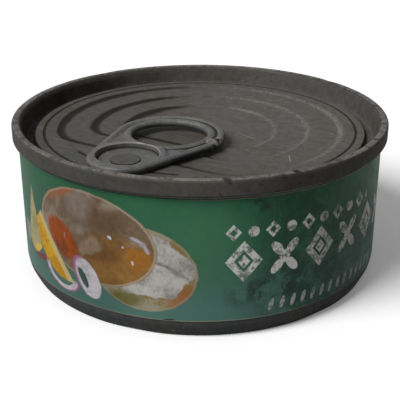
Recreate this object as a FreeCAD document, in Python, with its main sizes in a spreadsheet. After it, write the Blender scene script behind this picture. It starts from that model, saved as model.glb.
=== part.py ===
"""Low round food can with a double-seamed easy-open lid, a ring-pull tab and a wrapped label.

Units are millimetres. +Z is up, the standing ring lies on Z = 0 and the can's axis is the Z axis. The tab
lies along the Y axis with its nose towards -Y.
"""
import FreeCAD, Part
import math
import os

import Sketcher

doc = FreeCAD.newDocument("FoodCan")

# ---------------------------------------------------------------------------------------------------------
# Driving dimensions: alias, value, meaning
# ---------------------------------------------------------------------------------------------------------
DIMENSIONS = [
    ("can_height", 42.1, "standing ring to the crest of the seam"),
    ("wall_radius", 49.35, "outside of the drawn wall"),
    ("foot_inset", 1.6, "wall to the outside of the standing ring"),
    ("foot_width", 1.5, "standing ring, across its flat"),
    ("foot_flank", 1.1, "lean of the standing ring's inner flank"),
    ("corner_rise", 3.4, "height over which the wall leans in to the foot"),
    ("corner_round", 4.0, "rounding where the wall starts to lean in"),
    ("foot_round", 0.7, "rounding of the standing ring's edges"),
    ("base_recess", 2.4, "standing ring to the edge of the base panel"),
    ("base_step", 0.5, "rise of each step in the base panel"),
    ("base_bead_pitch", 8.0, "radial distance between the base panel's steps"),
    ("base_slope", 0.5, "radial run of each step in the base panel"),
    ("seam_overhang", 1.65, "seam stands out from the wall by this"),
    ("seam_width", 2.2, "seam, measured radially"),
    ("seam_height", 4.1, "crest of the seam to its lower edge"),
    ("seam_round", 1.05, "rounding of the seam's crest"),
    ("skirt_round", 0.35, "rounding of the seam's lower outer edge"),
    ("seam_seat", 0.1, "wall's edge above the seam's lower edge"),
    ("fit_gap", 0.03, "clearance between pieces that seat on each other"),
    ("lid_gauge", 0.5, "thickness of the lid's sheet"),
    ("sink_drop", 5.4, "crest to the floor of the countersink"),
    ("chuck_lean", 1.4, "chuck wall leans in by this down to the floor"),
    ("sink_width", 1.9, "floor of the countersink, measured radially"),
    ("sink_round", 0.5, "rounding at the floor of the countersink"),
    ("panel_drop", 4.0, "crest to the panel's outer level"),
    ("panel_flank", 0.5, "lean of the panel's edge"),
    ("panel_round", 0.6, "rounding of the panel's edge"),
    ("score_inset", 2.4, "panel's edge to the score line"),
    ("score_width", 0.5, "score line, across its mouth"),
    ("score_depth", 0.16, "score line, down from the panel"),
    ("bead_inset", 5.3, "score line to the short bead under the tab's nose"),
    ("bead_width", 0.9, "short bead, across its mouth"),
    ("bead_depth", 0.2, "short bead, down from the panel"),
    ("bead_sweep", 52.0, "angle of the short bead about the can's axis, degrees"),
    ("terrace_step", 0.35, "drop of each terrace in the panel"),
    ("terrace_slope", 65.0, "draft of the terraces' edges, degrees"),
    ("terrace_inset_1", 4.2, "score line to the first terrace's round edge"),
    ("terrace_inset_2", 13.1, "score line to the second terrace's round edge"),
    ("terrace_inset_3", 21.9, "score line to the third terrace's round edge"),
    ("terrace_chord_1", 5.6, "rivet to the first terrace's straight edge"),
    ("terrace_chord_2", 15.1, "rivet to the second terrace's straight edge"),
    ("terrace_chord_3", 20.0, "rivet to the third terrace's straight edge"),
    ("terrace_corner_1", 12.0, "corner radius of the first terrace"),
    ("terrace_corner_2", 9.0, "corner radius of the second terrace"),
    ("terrace_corner_3", 6.0, "corner radius of the third terrace"),
    ("tab_drop", 1.7, "crest to the top of the tab"),
    ("tab_thickness", 2.0, "tab over its curled edges"),
    ("curl_round", 0.9, "rounding of the tab's curled edges"),
    ("nose_overlap", 1.7, "tab's nose reaches past the score line by this"),
    ("finger_radius", 9.9, "finger hole in the tab's ring"),
    ("ring_width", 4.7, "tab's ring, measured radially"),
    ("ring_groove", 0.6, "groove between the ring's two curls"),
    ("groove_depth", 0.5, "depth of that groove"),
    ("groove_sweep", 160.0, "angle of that groove about the finger hole, degrees"),
    ("ridge_width", 0.9, "ridge between the finger hole and the nose opening"),
    ("opening_radius", 7.9, "nose opening, which shows the tongue"),
    ("head_border", 1.4, "nose opening to the head's outline, before the shift"),
    ("opening_shift", 1.3, "nose opening's centre behind the head's centre"),
    ("opening_round", 0.35, "rounding of the nose opening's upper edge"),
    ("tongue_gauge", 0.45, "thickness of the tongue"),
    ("slit_inset", 0.4, "tongue's end is this much smaller in radius than its opening"),
    ("slit_shift", 0.8, "tongue's end is set back from the nose by this"),
    ("web_depth", 0.5, "depth of the two hollows beside the ridge"),
    ("web_lip", 2.1, "either opening to those hollows"),
    ("web_tuck", 0.35, "hollows' outer edge runs this far inside the lip of the finger hole"),
    ("rivet_radius", 1.9, "shank of the rivet"),
    ("rivet_shift", 0.4, "rivet behind the head's centre"),
    ("rivet_head", 3.8, "radius of the rivet's head"),
    ("rivet_head_height", 0.2, "height of the rivet's head above the tongue"),
    ("rivet_seat", 3.0, "radius of the raised seat under the tongue"),
    ("rivet_round", 0.1, "rounding of the rivet's head"),
    ("label_gauge", 0.12, "thickness of the label"),
    ("label_bottom", 5.0, "standing ring to the label's lower edge"),
    ("label_clear", 1.1, "label's upper edge below the seam"),
]

sheet = doc.addObject("Spreadsheet::Sheet", "Dimensions")
for row, (alias, value, meaning) in enumerate(DIMENSIONS, start=1):
    sheet.set(f"A{row}", alias)
    sheet.set(f"B{row}", str(value))
    sheet.set(f"C{row}", meaning)
    sheet.setAlias(f"B{row}", alias)
doc.recompute()


class Size:
    """A number together with the spreadsheet expression that gives it."""

    def __init__(self, value, text):
        self.value = value
        self.text = text

    def join(self, other, sign, value):
        other_text = other.text if isinstance(other, Size) else str(other)
        return Size(value, f"({self.text} {sign} {other_text})")

    def __add__(self, other):
        return self.join(other, "+", self.value + float(other))

    def __sub__(self, other):
        return self.join(other, "-", self.value - float(other))

    def __mul__(self, other):
        return self.join(other, "*", self.value * float(other))

    def __truediv__(self, other):
        return self.join(other, "/", self.value / float(other))

    def __neg__(self):
        return Size(-self.value, f"(0 - {self.text})")

    def __float__(self):
        return self.value


def size(alias):
    """The named dimension, as a Size."""
    return Size(float(sheet.get(alias)), f"Dimensions.{alias}")


ZERO = Size(0.0, "0")

# ---------------------------------------------------------------------------------------------------------
# Levels and radii that more than one piece shares
# ---------------------------------------------------------------------------------------------------------
crest = size("can_height")
seam_radius = size("wall_radius") + size("seam_overhang")
seam_inner = seam_radius - size("seam_width")
seam_bottom = crest - size("seam_height")
seat_level = seam_bottom + size("seam_seat")
chuck_foot = seam_inner - size("chuck_lean")
sink_level = crest - size("sink_drop")
sink_inner = chuck_foot - size("sink_width")
panel_level = crest - size("panel_drop")
panel_radius = sink_inner - size("panel_flank")
score_radius = panel_radius - size("score_inset")
chuck_slope = size("chuck_lean") / size("sink_drop")
# the chuck wall's outer face where the seam's seat meets it
chuck_seat = chuck_foot + size("lid_gauge") + (seat_level - sink_level) * chuck_slope

# the tab and its rivet, as distances along Y
tab_top = crest - size("tab_drop")
tab_bottom = tab_top - size("tab_thickness")
head_radius = size("opening_radius") + size("head_border")
ring_radius = size("finger_radius") + size("ring_width")
nose_y = -(score_radius + size("nose_overlap"))
head_y = nose_y + head_radius
opening_y = head_y + size("opening_shift")
ring_y = opening_y + size("opening_radius") + size("ridge_width") + size("finger_radius")
rivet_y = head_y + size("rivet_shift")
tongue_top = tab_bottom + size("tongue_gauge")


# ---------------------------------------------------------------------------------------------------------
# Helpers for sketches and features
# ---------------------------------------------------------------------------------------------------------
def new_body(label):
    """An empty body with the node's name."""
    body = doc.addObject("PartDesign::Body", label)
    body.Label = label
    return body


def new_sketch(body, name, plane, level=None):
    """A sketch on one of the body's origin planes, lifted to a level if one is given."""
    sketch = body.newObject("Sketcher::SketchObject", name)
    support = [feature for feature in body.Origin.OriginFeatures if feature.Role == plane][0]
    sketch.AttachmentSupport = [(support, "")]
    sketch.MapMode = "FlatFace"
    if level is not None:
        sketch.AttachmentOffset = FreeCAD.Placement(FreeCAD.Vector(0, 0, level.value), FreeCAD.Rotation())
        sketch.setExpression("AttachmentOffset.Base.z", level.text)
    return sketch


def bind(sketch, kind, *arguments):
    """Add a dimensional constraint whose last argument is a Size, and tie it to the sheet."""
    value = arguments[-1]
    index = sketch.addConstraint(Sketcher.Constraint(kind, *arguments[:-1], value.value))
    sketch.setExpression(f"Constraints[{index}]", value.text)


def place(sketch, geometry, point, x, y):
    """Fix one point of a sketch element at x, y from the sketch's origin."""
    for kind, axis, value in (("DistanceX", -2, x), ("DistanceY", -1, y)):
        if value is ZERO:
            sketch.addConstraint(Sketcher.Constraint("PointOnObject", geometry, point, axis))
        else:
            bind(sketch, kind, geometry, point, value)


def draw_polygon(sketch, corners):
    """A closed outline of straight lines through corners given as pairs of Size."""
    count = len(corners)
    points = [FreeCAD.Vector(x.value, y.value, 0) for x, y in corners]
    for index in range(count):
        sketch.addGeometry(Part.LineSegment(points[index], points[(index + 1) % count]))
    for index in range(count):
        sketch.addConstraint(Sketcher.Constraint("Coincident", index, 2, (index + 1) % count, 1))
    for index, (x, y) in enumerate(corners):
        place(sketch, index, 1, x, y)


def draw_circle(sketch, x, y, radius):
    """A full circle."""
    centre = FreeCAD.Vector(x.value, y.value, 0)
    circle = sketch.addGeometry(Part.Circle(centre, FreeCAD.Vector(0, 0, 1), radius.value))
    place(sketch, circle, 3, x, y)
    bind(sketch, "Radius", circle, radius)


def add_arc(sketch, x, y, radius, start, end):
    """An arc whose numbers are plain, so that constraints can take hold of it. Angles are in radians."""
    circle = Part.Circle(FreeCAD.Vector(x, y, 0), FreeCAD.Vector(0, 0, 1), radius)
    return sketch.addGeometry(Part.ArcOfCircle(circle, start, end))


def add_line(sketch, x1, y1, x2, y2):
    """A straight line between plain numbers."""
    return sketch.addGeometry(Part.LineSegment(FreeCAD.Vector(x1, y1, 0), FreeCAD.Vector(x2, y2, 0)))


def revolve(body, name, sketch, kind="PartDesign::Revolution", angle=None, axis="V_Axis"):
    """Turn a sketch about an axis of its own, all the way or through an angle centred on it."""
    feature = body.newObject(kind, name)
    feature.Profile = sketch
    feature.ReferenceAxis = (sketch, [axis])
    feature.Angle = 360
    if angle is not None:
        feature.Midplane = True
        feature.setExpression("Angle", angle.text)
    sketch.Visibility = False
    return feature


def extrude(body, name, sketch, length, kind="PartDesign::Pad", taper=None):
    """Pad a sketch up, or pocket it down, by a length."""
    feature = body.newObject(kind, name)
    feature.Profile = sketch
    feature.Type = "Length"
    feature.setExpression("Length", length.text)
    if taper is not None:
        feature.setExpression("TaperAngle", taper.text)
    sketch.Visibility = False
    return feature


def cut_groove(body, name, plane, level, middle, width, depth, angle=None, axis=None):
    """A V groove of a width and depth, down from a level, turned about the can's axis or another upright one.

    middle is the groove's distance from the can's axis along the plane, and may be negative.
    """
    half = width / 2
    sketch = new_sketch(body, f"{name}_section", plane)
    draw_polygon(sketch, [
        (middle - half, level + depth),
        (middle - half, level),
        (middle, level - depth),
        (middle + half, level),
        (middle + half, level + depth),
    ])
    if axis is None:
        return revolve(body, name, sketch, "PartDesign::Groove", angle)
    pivot = add_line(sketch, axis.value, level.value, axis.value, (level + depth).value)
    sketch.toggleConstruction(pivot)
    place(sketch, pivot, 1, axis, level)
    place(sketch, pivot, 2, axis, level + depth)
    return revolve(body, name, sketch, "PartDesign::Groove", angle, "Axis0")


def round_edges(body, name, base, radius, chosen):
    """Fillet the edges of a feature that a test picks out."""
    doc.recompute()
    edges = [f"Edge{number}" for number, edge in enumerate(base.Shape.Edges, start=1) if chosen(edge)]
    if not edges:
        raise RuntimeError(f"{name}: no edge to round")
    feature = body.newObject("PartDesign::Fillet", name)
    feature.Base = (base, edges)
    feature.setExpression("Radius", radius.text)
    return feature


def on_circle(*wanted):
    """A test for circular edges about the Z axis, given pairs of radius and level."""
    def chosen(edge):
        if not isinstance(edge.Curve, Part.Circle):
            return False
        found = edge.Curve
        return any(abs(found.Radius - radius.value) < 1e-4 and abs(found.Center.z - level.value) < 1e-4
                   for radius, level in wanted)
    return chosen


def at_levels(*levels):
    """A test for edges that lie wholly at one of the levels."""
    def chosen(edge):
        box = edge.BoundBox
        return any(abs(box.ZMin - level.value) < 1e-4 and abs(box.ZMax - level.value) < 1e-4
                   for level in levels)
    return chosen


# ---------------------------------------------------------------------------------------------------------
# Can body: the drawn can with its closed-in contents, one solid of revolution
# ---------------------------------------------------------------------------------------------------------
def make_can_body():
    body = new_body("can_body")
    wall = size("wall_radius")
    foot_outer = wall - size("foot_inset")
    foot_inner = foot_outer - size("foot_width")
    base_edge = foot_inner - size("foot_flank")
    step = size("base_step")
    slope = size("base_slope")
    step_1 = base_edge - size("base_bead_pitch")
    step_2 = step_1 - size("base_bead_pitch")
    level_0 = size("base_recess")
    level_1 = level_0 + step
    level_2 = level_1 + step
    fill_level = sink_level - size("lid_gauge") - size("fit_gap")
    wall_edge = seat_level - size("fit_gap")
    shoulder = chuck_seat + size("fit_gap")
    shoulder_foot = chuck_foot + size("lid_gauge") + size("fit_gap")

    sketch = new_sketch(body, "can_profile", "XZ_Plane")
    draw_polygon(sketch, [
        (ZERO, level_2),
        (step_2 - slope, level_2),
        (step_2, level_1),
        (step_1 - slope, level_1),
        (step_1, level_0),
        (base_edge, level_0),
        (foot_inner, ZERO),
        (foot_outer, ZERO),
        (wall, size("corner_rise")),
        (wall, wall_edge),
        (shoulder, wall_edge),
        (shoulder_foot, fill_level),
        (ZERO, fill_level),
    ])
    turned = revolve(body, "can_turned", sketch)
    corner = round_edges(body, "can_corner", turned, size("corner_round"),
                         on_circle((wall, size("corner_rise"))))
    round_edges(body, "can_foot", corner, size("foot_round"),
                on_circle((foot_outer, ZERO), (foot_inner, ZERO), (base_edge, level_0)))
    return body


# ---------------------------------------------------------------------------------------------------------
# Label: one turn of thin sheet round the wall
# ---------------------------------------------------------------------------------------------------------
def make_label():
    body = new_body("label")
    inner = size("wall_radius") + size("fit_gap")
    outer = inner + size("label_gauge")
    bottom = size("label_bottom")
    top = seam_bottom - size("label_clear")
    sketch = new_sketch(body, "label_profile", "XZ_Plane")
    draw_polygon(sketch, [(inner, bottom), (outer, bottom), (outer, top), (inner, top)])
    revolve(body, "label_turned", sketch)
    return body


# ---------------------------------------------------------------------------------------------------------
# Lid: seam, chuck wall, countersink and panel turned from one sheet, then stamped
# ---------------------------------------------------------------------------------------------------------
def draw_terrace(sketch, radius, chord_y, corner):
    """A circle about the can's axis cut off by a straight edge at chord_y, with round corners."""
    centre_y = chord_y.value + corner.value
    centre_x = math.sqrt((radius.value - corner.value) ** 2 - centre_y ** 2)
    turn = math.atan2(centre_y, centre_x)
    chord = add_line(sketch, -centre_x, chord_y.value, centre_x, chord_y.value)
    right = add_arc(sketch, centre_x, centre_y, corner.value, -math.pi / 2, turn)
    rim = add_arc(sketch, 0, 0, radius.value, turn, math.pi - turn)
    left = add_arc(sketch, -centre_x, centre_y, corner.value, math.pi - turn, 1.5 * math.pi)
    for first, second in ((chord, right), (right, rim), (rim, left), (left, chord)):
        sketch.addConstraint(Sketcher.Constraint("Tangent", first, 2, second, 1))
    sketch.addConstraint(Sketcher.Constraint("Coincident", rim, 3, -1, 1))
    sketch.addConstraint(Sketcher.Constraint("Horizontal", chord))
    sketch.addConstraint(Sketcher.Constraint("Equal", right, left))
    bind(sketch, "Radius", rim, radius)
    bind(sketch, "Radius", right, corner)
    bind(sketch, "DistanceY", chord, 1, chord_y)


def stamp_terraces(body):
    """Step the panel down in three terraces, the sheet keeping its thickness."""
    step = size("terrace_step")
    gauge = size("lid_gauge")
    for number in (1, 2, 3):
        radius = score_radius - size(f"terrace_inset_{number}")
        chord_y = rivet_y + size(f"terrace_chord_{number}")
        corner = size(f"terrace_corner_{number}")
        sunk = panel_level - gauge - step * number
        below = new_sketch(body, f"terrace_{number}_below", "XY_Plane", sunk)
        draw_terrace(below, radius + step, chord_y - step, corner + step)
        extrude(body, f"terrace_{number}_sheet", below, step + gauge / 2)
    for number in (1, 2, 3):
        radius = score_radius - size(f"terrace_inset_{number}")
        chord_y = rivet_y + size(f"terrace_chord_{number}")
        corner = size(f"terrace_corner_{number}")
        above = new_sketch(body, f"terrace_{number}_above", "XY_Plane", panel_level - step * (number - 1))
        draw_terrace(above, radius, chord_y, corner)
        extrude(body, f"terrace_{number}_stamp", above, step, "PartDesign::Pocket", size("terrace_slope"))


def raise_rivet(body):
    """The seat, shank and head of the rivet, which is formed from the panel itself."""
    seat_top = tab_bottom - size("fit_gap")
    head_bottom = tongue_top + size("fit_gap")
    root = panel_level - size("lid_gauge") / 2
    for name, radius, bottom, top in (
            ("rivet_seat_disc", size("rivet_seat"), root, seat_top),
            ("rivet_shank_disc", size("rivet_radius"), root, head_bottom),
            ("rivet_head_disc", size("rivet_head"), head_bottom, head_bottom + size("rivet_head_height"))):
        sketch = new_sketch(body, f"{name}_outline", "XY_Plane", bottom)
        draw_circle(sketch, ZERO, rivet_y, radius)
        raised = extrude(body, name, sketch, top - bottom)
    head_top = head_bottom + size("rivet_head_height")
    return round_edges(body, "rivet_head_edge", raised, size("rivet_round"),
                       on_circle((size("rivet_head"), head_top)))


def make_lid():
    body = new_body("lid")
    gauge = size("lid_gauge")
    skirt_inner = size("wall_radius") + size("fit_gap")
    sketch = new_sketch(body, "lid_profile", "XZ_Plane")
    draw_polygon(sketch, [
        (ZERO, panel_level),
        (panel_radius, panel_level),
        (sink_inner, sink_level),
        (chuck_foot, sink_level),
        (seam_inner, crest),
        (seam_radius, crest),
        (seam_radius, seam_bottom),
        (skirt_inner, seam_bottom),
        (skirt_inner, seat_level),
        (chuck_seat, seat_level),
        (chuck_foot + gauge, sink_level - gauge),
        (sink_inner - gauge, sink_level - gauge),
        (panel_radius - gauge, panel_level - gauge),
        (ZERO, panel_level - gauge),
    ])
    turned = revolve(body, "lid_turned", sketch)
    rounded = round_edges(body, "seam_crest", turned, size("seam_round"),
                          on_circle((seam_inner, crest), (seam_radius, crest)))
    rounded = round_edges(body, "seam_skirt", rounded, size("skirt_round"),
                          on_circle((seam_radius, seam_bottom)))
    rounded = round_edges(body, "sink_floor", rounded, size("sink_round"),
                          on_circle((sink_inner, sink_level), (chuck_foot, sink_level)))
    round_edges(body, "panel_edge", rounded, size("panel_round"), on_circle((panel_radius, panel_level)))
    cut_groove(body, "score_line", "XZ_Plane", panel_level, score_radius, size("score_width"),
               size("score_depth"))
    cut_groove(body, "nose_bead", "YZ_Plane", panel_level, -(score_radius - size("bead_inset")),
               size("bead_width"), size("bead_depth"), size("bead_sweep"))
    stamp_terraces(body)
    raise_rivet(body)
    return body


# ---------------------------------------------------------------------------------------------------------
# Pull tab: a ring and a head joined by tangents, with curled edges and a tongue held by the rivet
# ---------------------------------------------------------------------------------------------------------
def draw_tab_outline(sketch):
    """The ring's arc and the head's arc, joined by two tangent lines."""
    lean = math.asin((ring_radius.value - head_radius.value) / (ring_y.value - head_y.value))
    across = math.cos(lean)
    along = math.sin(lean)
    ring = add_arc(sketch, 0, ring_y.value, ring_radius.value, -lean, math.pi + lean)
    left = add_line(sketch, -ring_radius.value * across, ring_y.value - ring_radius.value * along,
                    -head_radius.value * across, head_y.value - head_radius.value * along)
    head = add_arc(sketch, 0, head_y.value, head_radius.value, math.pi + lean, 2 * math.pi - lean)
    right = add_line(sketch, head_radius.value * across, head_y.value - head_radius.value * along,
                     ring_radius.value * across, ring_y.value - ring_radius.value * along)
    for first, second in ((ring, left), (left, head), (head, right), (right, ring)):
        sketch.addConstraint(Sketcher.Constraint("Tangent", first, 2, second, 1))
    place(sketch, ring, 3, ZERO, ring_y)
    place(sketch, head, 3, ZERO, head_y)
    bind(sketch, "Radius", ring, ring_radius)
    bind(sketch, "Radius", head, head_radius)


def draw_slit(sketch):
    """The crescent between the nose opening and the tongue's round end."""
    opening = size("opening_radius")
    tongue = opening - size("slit_inset")
    shift = size("slit_shift").value
    reach = (opening.value ** 2 - tongue.value ** 2 + shift ** 2) / (2 * shift)
    tip = math.sqrt(opening.value ** 2 - reach ** 2)
    turn_out = math.atan2(reach, tip)
    turn_in = math.atan2(reach - shift, tip)
    outer = add_arc(sketch, 0, opening_y.value, opening.value, math.pi - turn_out, 2 * math.pi + turn_out)
    inner = add_arc(sketch, 0, opening_y.value + shift, tongue.value, math.pi - turn_in,
                    2 * math.pi + turn_in)
    sketch.addConstraint(Sketcher.Constraint("Coincident", outer, 1, inner, 1))
    sketch.addConstraint(Sketcher.Constraint("Coincident", outer, 2, inner, 2))
    place(sketch, outer, 3, ZERO, opening_y)
    place(sketch, inner, 3, ZERO, opening_y + size("slit_shift"))
    bind(sketch, "Radius", outer, opening)
    bind(sketch, "Radius", inner, tongue)


def draw_web(sketch, side):
    """The three-cornered hollow between the two openings and the outline, on one side of the tab."""
    ring_lip = size("finger_radius") + size("web_lip")
    head_lip = size("opening_radius") + size("web_lip")
    ring_inset = ring_lip - size("web_tuck")
    head_inset = head_radius - (ring_radius - ring_inset)
    gap = ring_y.value - opening_y.value
    # inner corner: where the two lips cross
    inner_y = ring_y.value - (gap ** 2 + ring_lip.value ** 2 - head_lip.value ** 2) / (2 * gap)
    inner_x = math.sqrt(ring_lip.value ** 2 - (ring_y.value - inner_y) ** 2)
    # the border is a line parallel to the outline's tangent
    lean = math.asin((ring_inset.value - head_inset.value) / (ring_y.value - head_y.value))
    outward = FreeCAD.Vector(math.cos(lean), -math.sin(lean))
    along = FreeCAD.Vector(-math.sin(lean), -math.cos(lean))
    start = FreeCAD.Vector(0, ring_y.value) + outward * ring_inset.value

    def crossing(centre_y, radius, sign):
        """Where the border line crosses a lip's circle."""
        offset = start - FreeCAD.Vector(0, centre_y, 0)
        half = offset.dot(along)
        root = math.sqrt(half ** 2 - offset.dot(offset) + radius ** 2)
        return start + along * (-half + sign * root)

    near_ring = crossing(ring_y.value, ring_lip.value, 1)
    near_head = crossing(opening_y.value, head_lip.value, -1)
    angles = {
        "ring_inner": math.atan2(inner_y - ring_y.value, inner_x),
        "ring_outer": math.atan2(near_ring.y - ring_y.value, near_ring.x),
        "head_inner": math.atan2(inner_y - opening_y.value, inner_x),
        "head_outer": math.atan2(near_head.y - opening_y.value, near_head.x),
    }
    border = add_line(sketch, side * near_ring.x, near_ring.y, side * near_head.x, near_head.y)
    if side > 0:
        ring = add_arc(sketch, 0, ring_y.value, ring_lip.value, angles["ring_inner"], angles["ring_outer"])
        head = add_arc(sketch, 0, opening_y.value, head_lip.value, angles["head_outer"],
                       angles["head_inner"])
        ends = ((ring, 2, border, 1), (ring, 1, head, 2), (head, 1, border, 2))
    else:
        ring = add_arc(sketch, 0, ring_y.value, ring_lip.value, math.pi - angles["ring_outer"],
                       math.pi - angles["ring_inner"])
        head = add_arc(sketch, 0, opening_y.value, head_lip.value, math.pi - angles["head_inner"],
                       math.pi - angles["head_outer"])
        ends = ((ring, 1, border, 1), (ring, 2, head, 1), (head, 2, border, 2))
    for first, end_1, second, end_2 in ends:
        sketch.addConstraint(Sketcher.Constraint("Coincident", first, end_1, second, end_2))
    place(sketch, ring, 3, ZERO, ring_y)
    place(sketch, head, 3, ZERO, opening_y)
    bind(sketch, "Radius", ring, ring_lip)
    bind(sketch, "Radius", head, head_lip)
    # circles inset from the outline, which the border line touches
    ring_guide = sketch.addGeometry(Part.Circle(FreeCAD.Vector(0, ring_y.value, 0), FreeCAD.Vector(0, 0, 1),
                                                ring_inset.value), True)
    head_guide = sketch.addGeometry(Part.Circle(FreeCAD.Vector(0, head_y.value, 0), FreeCAD.Vector(0, 0, 1),
                                                head_inset.value), True)
    place(sketch, ring_guide, 3, ZERO, ring_y)
    place(sketch, head_guide, 3, ZERO, head_y)
    bind(sketch, "Radius", ring_guide, ring_inset)
    bind(sketch, "Radius", head_guide, head_inset)
    sketch.addConstraint(Sketcher.Constraint("Tangent", border, ring_guide))
    sketch.addConstraint(Sketcher.Constraint("Tangent", border, head_guide))


def make_pull_tab():
    body = new_body("pull_tab")
    thickness = size("tab_thickness")
    opening = size("opening_radius")

    outline = new_sketch(body, "tab_outline", "XY_Plane", tab_bottom)
    draw_tab_outline(outline)
    blank = extrude(body, "tab_blank", outline, thickness)
    round_edges(body, "tab_outer_curl", blank, size("curl_round"), at_levels(tab_bottom, tab_top))

    finger = new_sketch(body, "finger_outline", "XY_Plane", tab_top)
    draw_circle(finger, ZERO, ring_y, size("finger_radius"))
    hole = extrude(body, "finger_hole", finger, thickness, "PartDesign::Pocket")
    round_edges(body, "finger_curl", hole, size("curl_round"),
                on_circle((size("finger_radius"), tab_bottom), (size("finger_radius"), tab_top)))

    cut_groove(body, "ring_groove_cut", "YZ_Plane", tab_top,
               ring_y + size("finger_radius") + size("ring_width") / 2, size("ring_groove"),
               size("groove_depth"), size("groove_sweep"), ring_y)

    for name, side in (("web_right", 1), ("web_left", -1)):
        web = new_sketch(body, f"{name}_outline", "XY_Plane", tab_top)
        draw_web(web, side)
        extrude(body, name, web, size("web_depth"), "PartDesign::Pocket")

    nose = new_sketch(body, "opening_outline", "XY_Plane", tab_top)
    draw_circle(nose, ZERO, opening_y, opening)
    window = extrude(body, "nose_opening", nose, thickness - size("tongue_gauge"), "PartDesign::Pocket")
    round_edges(body, "opening_edge", window, size("opening_round"), on_circle((opening, tab_top)))

    slit = new_sketch(body, "slit_outline", "XY_Plane", tongue_top)
    draw_slit(slit)
    extrude(body, "tongue_slit", slit, size("tongue_gauge"), "PartDesign::Pocket")

    bore = new_sketch(body, "rivet_hole_outline", "XY_Plane", tongue_top)
    draw_circle(bore, ZERO, rivet_y, size("rivet_radius") + size("fit_gap"))
    extrude(body, "rivet_hole", bore, size("tongue_gauge"), "PartDesign::Pocket")
    return body


# ---------------------------------------------------------------------------------------------------------
# Build, test and write
# ---------------------------------------------------------------------------------------------------------
pieces = [make_can_body(), make_label(), make_lid(), make_pull_tab()]
doc.recompute()

for item in doc.Objects:
    if "Invalid" in item.State or "Error" in item.State:
        raise RuntimeError(f"{item.Label} did not build: {item.State}")

os.makedirs("parts", exist_ok=True)
for piece in pieces:
    shape = piece.Shape
    if shape.isNull() or not shape.isValid() or len(shape.Solids) != 1:
        raise RuntimeError(f"{piece.Label} is not one valid solid")
for piece in pieces:
    piece.Shape.exportStep(f"parts/{piece.Label}.step")
    box = piece.Shape.BoundBox
    print(f"{piece.Label}: {piece.Shape.Volume:.1f} mm3, Z {box.ZMin:.2f} to {box.ZMax:.2f}")
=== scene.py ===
import math
from itertools import product
import bpy
import numpy as np
from mathutils import Matrix, Vector, noise


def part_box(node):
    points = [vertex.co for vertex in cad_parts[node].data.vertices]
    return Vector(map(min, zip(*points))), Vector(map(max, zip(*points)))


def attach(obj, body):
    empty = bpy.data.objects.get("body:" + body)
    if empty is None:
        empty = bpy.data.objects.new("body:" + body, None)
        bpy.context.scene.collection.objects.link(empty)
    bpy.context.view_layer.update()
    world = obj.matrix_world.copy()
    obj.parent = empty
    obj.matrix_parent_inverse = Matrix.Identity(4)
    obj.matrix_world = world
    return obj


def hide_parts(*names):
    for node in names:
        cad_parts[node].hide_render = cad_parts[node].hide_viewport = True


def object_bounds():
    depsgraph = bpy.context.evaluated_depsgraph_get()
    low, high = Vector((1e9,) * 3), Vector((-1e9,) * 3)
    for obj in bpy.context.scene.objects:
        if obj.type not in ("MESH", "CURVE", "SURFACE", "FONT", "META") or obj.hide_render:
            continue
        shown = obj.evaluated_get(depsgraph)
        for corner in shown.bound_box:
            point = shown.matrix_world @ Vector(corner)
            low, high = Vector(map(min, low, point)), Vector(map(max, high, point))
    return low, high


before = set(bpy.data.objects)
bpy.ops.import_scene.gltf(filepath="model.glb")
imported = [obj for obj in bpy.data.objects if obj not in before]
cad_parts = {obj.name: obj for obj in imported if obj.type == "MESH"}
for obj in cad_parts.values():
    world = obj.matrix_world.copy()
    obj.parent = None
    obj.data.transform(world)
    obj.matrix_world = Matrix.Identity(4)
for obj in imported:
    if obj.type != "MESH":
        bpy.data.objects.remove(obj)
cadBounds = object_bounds()
mm = 0.001
tau = 2 * math.pi
canHeight = cadBounds[1].z / mm
seamRadius = cadBounds[1].x / mm
labelLow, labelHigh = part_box("label")
tabLow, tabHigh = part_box("pull_tab")
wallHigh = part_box("can_body")[1]
print("frame loaded, can", round(canHeight, 2), "mm tall")


# camera, light, floor
stage = {
    "azimuth": 32.0,  # degrees round the can, from -Y towards +X
    "elevation": 22.25,
    "pitch": 23.47,
    "distance": 244.2,  # mm from the can's centre
    "lens": 77.1,
    "keyAzimuth": -23.0,  # degrees, same sense as the camera's
    "keyElevation": 45.0,
    "keyStrength": 1.05,
    "keySoftness": 30.0,
    "fill": 0.25,
    "floorRadius": 3.0,  # m
    "floorBounce": 0.30, "floorWhite": 0.96, "floorGlow": 0.1,
}


def around(azimuth, elevation):
    # unit vector from the can towards something at this azimuth and elevation
    a, e = math.radians(azimuth), math.radians(elevation)
    return Vector((math.sin(a) * math.cos(e), -math.cos(a) * math.cos(e), math.sin(e)))


def link(thing):
    bpy.context.scene.collection.objects.link(thing)
    return thing


scene = bpy.context.scene
scene.view_settings.view_transform = "Standard"
centre = Vector((0, 0, canHeight / 2 * mm))
camera = link(bpy.data.objects.new("camera", bpy.data.cameras.new("camera")))
camera.data.lens = stage["lens"]
camera.data.clip_start = 0.01
camera.location = centre + around(stage["azimuth"], stage["elevation"]) * stage["distance"] * mm
camera.rotation_euler = (math.radians(90 - stage["pitch"]), 0, math.radians(stage["azimuth"]))
scene.camera = camera

key = link(bpy.data.objects.new("key", bpy.data.lights.new("key", "SUN")))
key.data.energy = stage["keyStrength"] * math.pi
key.data.angle = math.radians(stage["keySoftness"])
key.rotation_euler = around(stage["keyAzimuth"], stage["keyElevation"]).to_track_quat("Z", "Y").to_euler()
print("camera and key light set")


# shader helpers
def tint(red, green, blue):
    # screen colour 0-255 to the linear colour that a socket wants
    linear = []
    for channel in (red, green, blue):
        c = channel / 255
        linear.append(c / 12.92 if c <= 0.04045 else ((c + 0.055) / 1.055) ** 2.4)
    return (*linear, 1.0)


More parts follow.
